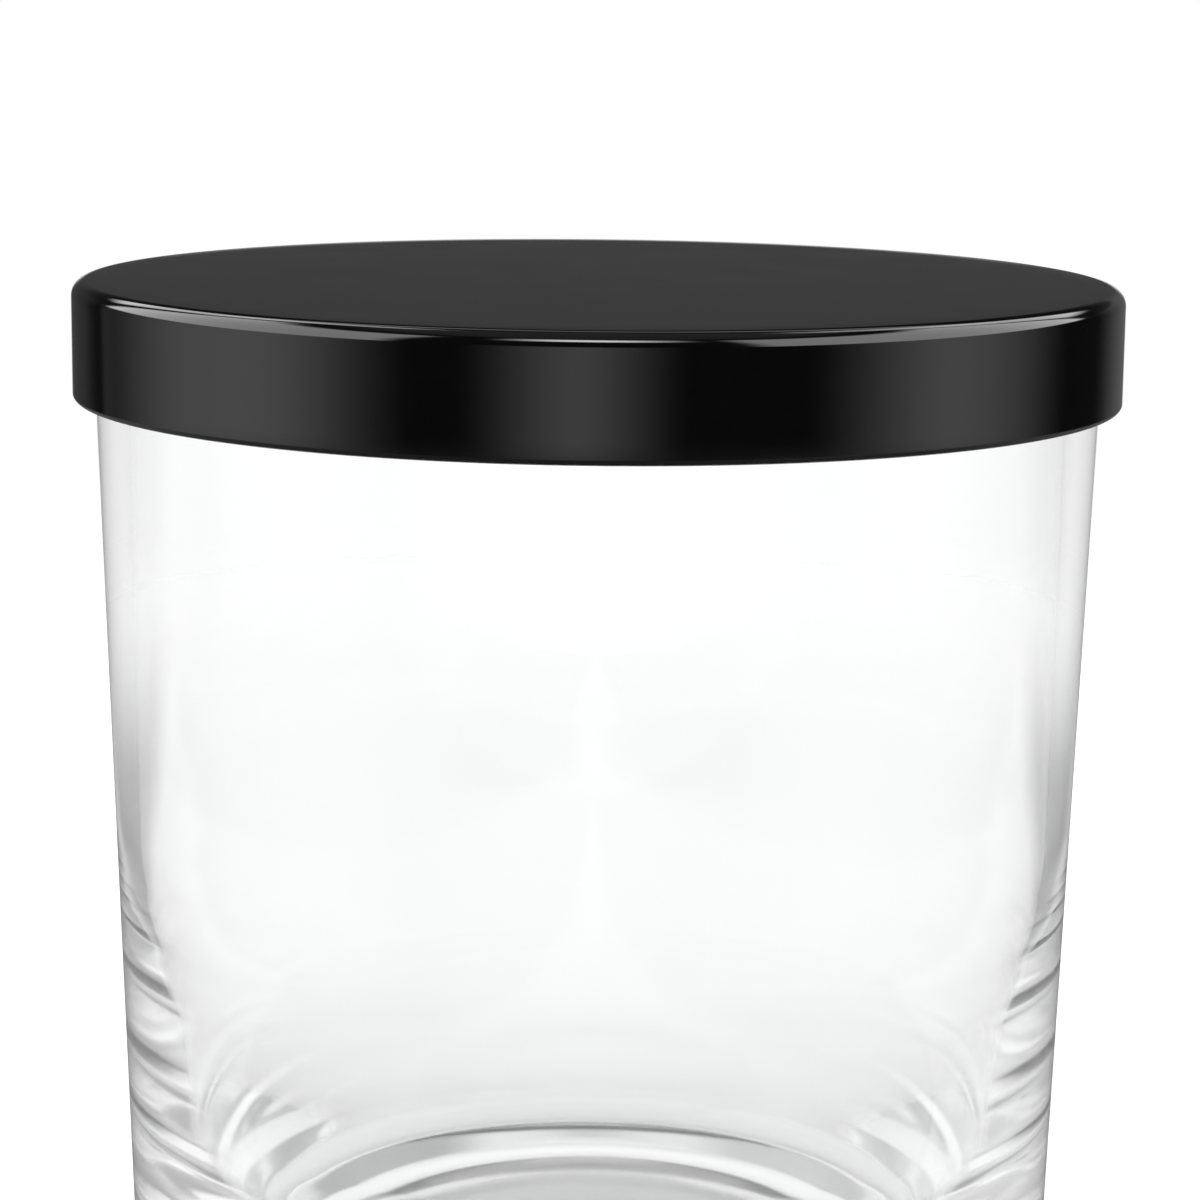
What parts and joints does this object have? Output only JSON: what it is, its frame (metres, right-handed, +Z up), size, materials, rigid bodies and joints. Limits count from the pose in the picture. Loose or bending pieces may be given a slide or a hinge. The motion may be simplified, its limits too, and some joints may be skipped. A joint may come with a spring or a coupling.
{
  "type": "lidded glass jar",
  "caption": "Clear glass tumbler jar with a thick base and a lift-off flat metal lid, sealed by a soft ring inside the mouth.",
  "frame": {"origin": "centre of the base, on the plane that the jar stands on", "axes": "+Z up along the axis of the glass; the object is round, so +X and +Y are free, and the picture's front is -Y"},
  "size_m": [0.083, 0.083, 0.091],
  "materials": {
    "clear_glass": "clear pressed soda-lime glass, fire polished",
    "black_lacquer": "gloss black lacquer on drawn sheet steel",
    "silicone": "satin translucent silicone rubber"
  },
  "bodies": {
    "jar": {"glass_jar": "clear_glass"},
    "seal": {"seal_ring": "silicone"},
    "lid": {"lid_shell": "black_lacquer"}
  },
  "joints": [
    {"name": "lid_lift", "type": "slide", "parent": "jar", "child": "seal", "axis": [0, 0, 1], "range_m": [0, 0.06]},
    {"name": "lid_turn", "type": "hinge", "parent": "seal", "child": "lid", "pos_m": [0, 0, 0.0908], "axis": [0, 0, 1], "continuous": true}
  ]
}
